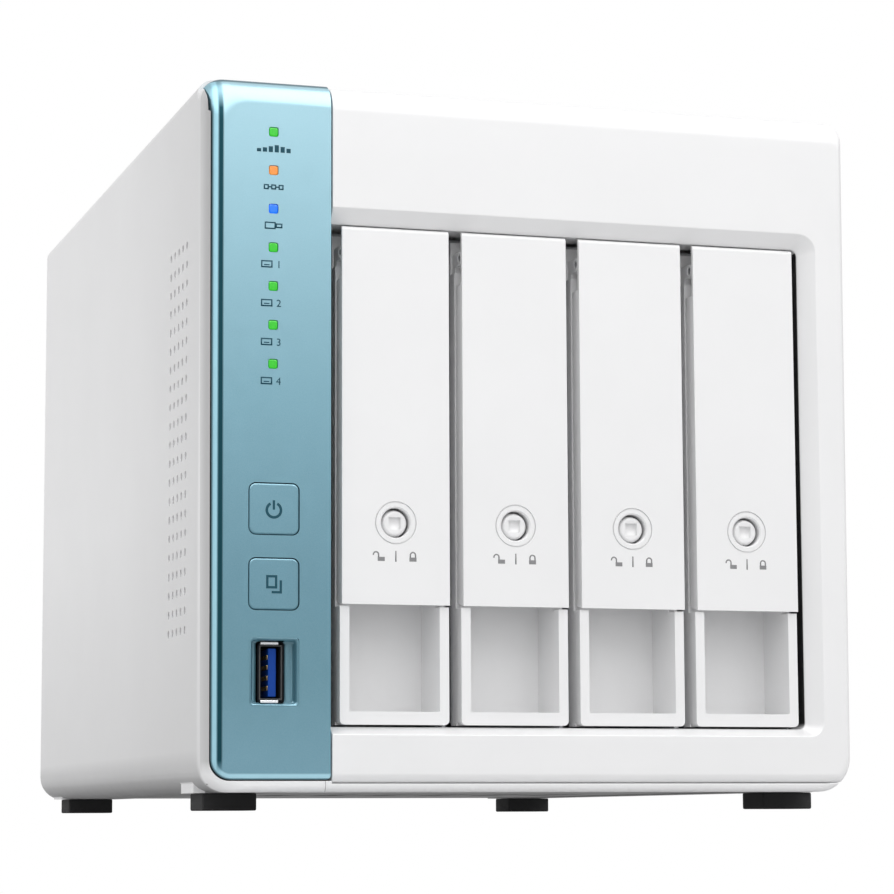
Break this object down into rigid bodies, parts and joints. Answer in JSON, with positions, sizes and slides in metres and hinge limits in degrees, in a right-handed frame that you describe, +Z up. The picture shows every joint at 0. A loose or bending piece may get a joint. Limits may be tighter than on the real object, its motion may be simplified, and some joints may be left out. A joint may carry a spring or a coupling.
{
  "type": "nas enclosure",
  "caption": "Desktop network storage enclosure: white case, teal control strip with lamps, buttons and a USB socket, and upright hot-swap drive trays with lever doors and locks.",
  "frame": {"origin": "on the resting surface, under the middle of the case", "axes": "front faces -Y, +X to the right of someone looking at the front, +Z up"},
  "size_m": [0.16, 0.219, 0.1685],
  "materials": {
    "white_case": "satin, very fine moulded grain",
    "white_tray": "satin, very fine moulded grain",
    "teal_panel": "metallic lacquer, satin",
    "black_plastic": "matt",
    "sheet_steel": "zinc-coated sheet",
    "bright_steel": "plated",
    "bare_aluminium": "as extruded",
    "circuit_board": "solder mask",
    "blue_plastic": "moulded",
    "foot_rubber": "matt",
    "lamp_green": "diffusing light guide, lit green",
    "lamp_orange": "diffusing light guide, lit orange",
    "lamp_blue": "diffusing light guide, lit blue",
    "print_grey": "thin printed ink",
    "print_teal": "thin printed ink",
    "contact_gold": "gold plated"
  },
  "bodies": {
    "case": {"outer_shell": "white_case", "base_plate": "white_case", "front_bezel": "white_case", "accent_panel": "teal_panel", "rear_panel": "sheet_steel", "drive_cage": "sheet_steel", "mainboard": "circuit_board", "heat_sink": "bare_aluminium", "backplane": "circuit_board", "drive_connector_1": "black_plastic", "drive_connector_2": "black_plastic", "drive_connector_3": "black_plastic", "drive_connector_4": "black_plastic", "front_board": "circuit_board", "light_pipe": "lamp_green", "power_switch": "black_plastic", "copy_switch": "black_plastic", "front_usb_bezel": "teal_panel", "front_usb_shell": "bright_steel", "front_usb_tongue": "blue_plastic", "rear_usb_1": "bright_steel", "rear_usb_2": "bright_steel", "lan_port_1": "bright_steel", "lan_port_2": "bright_steel", "power_inlet": "black_plastic", "reset_switch": "black_plastic", "fan_frame": "black_plastic", "fan_guard": "bright_steel", "fan_screw_1": "bright_steel", "fan_screw_2": "bright_steel", "fan_screw_3": "bright_steel", "fan_screw_4": "bright_steel", "cover_screw_1": "bright_steel", "cover_screw_2": "bright_steel", "cover_screw_3": "bright_steel", "foot_1": "foot_rubber", "foot_2": "foot_rubber", "foot_3": "foot_rubber", "foot_4": "foot_rubber"},
    "power_key": {"power_button": "teal_panel"},
    "copy_key": {"copy_button": "teal_panel"},
    "reset_key": {"reset_plunger": "black_plastic"},
    "fan_wheel": {"fan_rotor": "black_plastic"},
    "tray_1": {"tray_carrier_1": "white_tray", "tray_pin_1": "bright_steel"},
    "handle_1": {"tray_handle_1": "white_tray"},
    "lock_1": {"tray_lock_1": "white_tray"},
    "tray_2": {"tray_carrier_2": "white_tray", "tray_pin_2": "bright_steel"},
    "handle_2": {"tray_handle_2": "white_tray"},
    "lock_2": {"tray_lock_2": "white_tray"},
    "tray_3": {"tray_carrier_3": "white_tray", "tray_pin_3": "bright_steel"},
    "handle_3": {"tray_handle_3": "white_tray"},
    "lock_3": {"tray_lock_3": "white_tray"},
    "tray_4": {"tray_carrier_4": "white_tray", "tray_pin_4": "bright_steel"},
    "handle_4": {"tray_handle_4": "white_tray"},
    "lock_4": {"tray_lock_4": "white_tray"}
  },
  "joints": [
    {"name": "power_button_press", "type": "slide", "parent": "case", "child": "power_key", "axis": [0, 1, 0], "range_m": [0, 0.001], "stiffness_N_per_m": 300},
    {"name": "copy_button_press", "type": "slide", "parent": "case", "child": "copy_key", "axis": [0, 1, 0], "range_m": [0, 0.001], "stiffness_N_per_m": 300},
    {"name": "reset_press", "type": "slide", "parent": "case", "child": "reset_key", "axis": [0, -1, 0], "range_m": [0, 0.0004], "stiffness_N_per_m": 100},
    {"name": "fan_spin", "type": "hinge", "parent": "case", "child": "fan_wheel", "pos_m": [0.012, 0.095, 0.088], "axis": [0, 1, 0], "continuous": true},
    {"name": "tray_1_slide", "type": "slide", "parent": "case", "child": "tray_1", "axis": [0, -1, 0], "range_m": [0, 0.15]},
    {"name": "tray_1_handle", "type": "hinge", "parent": "tray_1", "child": "handle_1", "pos_m": [-0.03405, -0.105, 0.129], "axis": [-1, 0, 0], "range_deg": [0, 60]},
    {"name": "tray_1_lock", "type": "hinge", "parent": "handle_1", "child": "lock_1", "pos_m": [-0.03405, -0.105, 0.0657], "axis": [0, 1, 0], "range_deg": [0, 90]},
    {"name": "tray_2_slide", "type": "slide", "parent": "case", "child": "tray_2", "axis": [0, -1, 0], "range_m": [0, 0.15]},
    {"name": "tray_2_handle", "type": "hinge", "parent": "tray_2", "child": "handle_2", "pos_m": [-0.00495, -0.105, 0.129], "axis": [-1, 0, 0], "range_deg": [0, 60]},
    {"name": "tray_2_lock", "type": "hinge", "parent": "handle_2", "child": "lock_2", "pos_m": [-0.00495, -0.105, 0.0657], "axis": [0, 1, 0], "range_deg": [0, 90]},
    {"name": "tray_3_slide", "type": "slide", "parent": "case", "child": "tray_3", "axis": [0, -1, 0], "range_m": [0, 0.15]},
    {"name": "tray_3_handle", "type": "hinge", "parent": "tray_3", "child": "handle_3", "pos_m": [0.02415, -0.105, 0.129], "axis": [-1, 0, 0], "range_deg": [0, 60]},
    {"name": "tray_3_lock", "type": "hinge", "parent": "handle_3", "child": "lock_3", "pos_m": [0.02415, -0.105, 0.0657], "axis": [0, 1, 0], "range_deg": [0, 90]},
    {"name": "tray_4_slide", "type": "slide", "parent": "case", "child": "tray_4", "axis": [0, -1, 0], "range_m": [0, 0.15]},
    {"name": "tray_4_handle", "type": "hinge", "parent": "tray_4", "child": "handle_4", "pos_m": [0.05325, -0.105, 0.129], "axis": [-1, 0, 0], "range_deg": [0, 60]},
    {"name": "tray_4_lock", "type": "hinge", "parent": "handle_4", "child": "lock_4", "pos_m": [0.05325, -0.105, 0.0657], "axis": [0, 1, 0], "range_deg": [0, 90]}
  ]
}
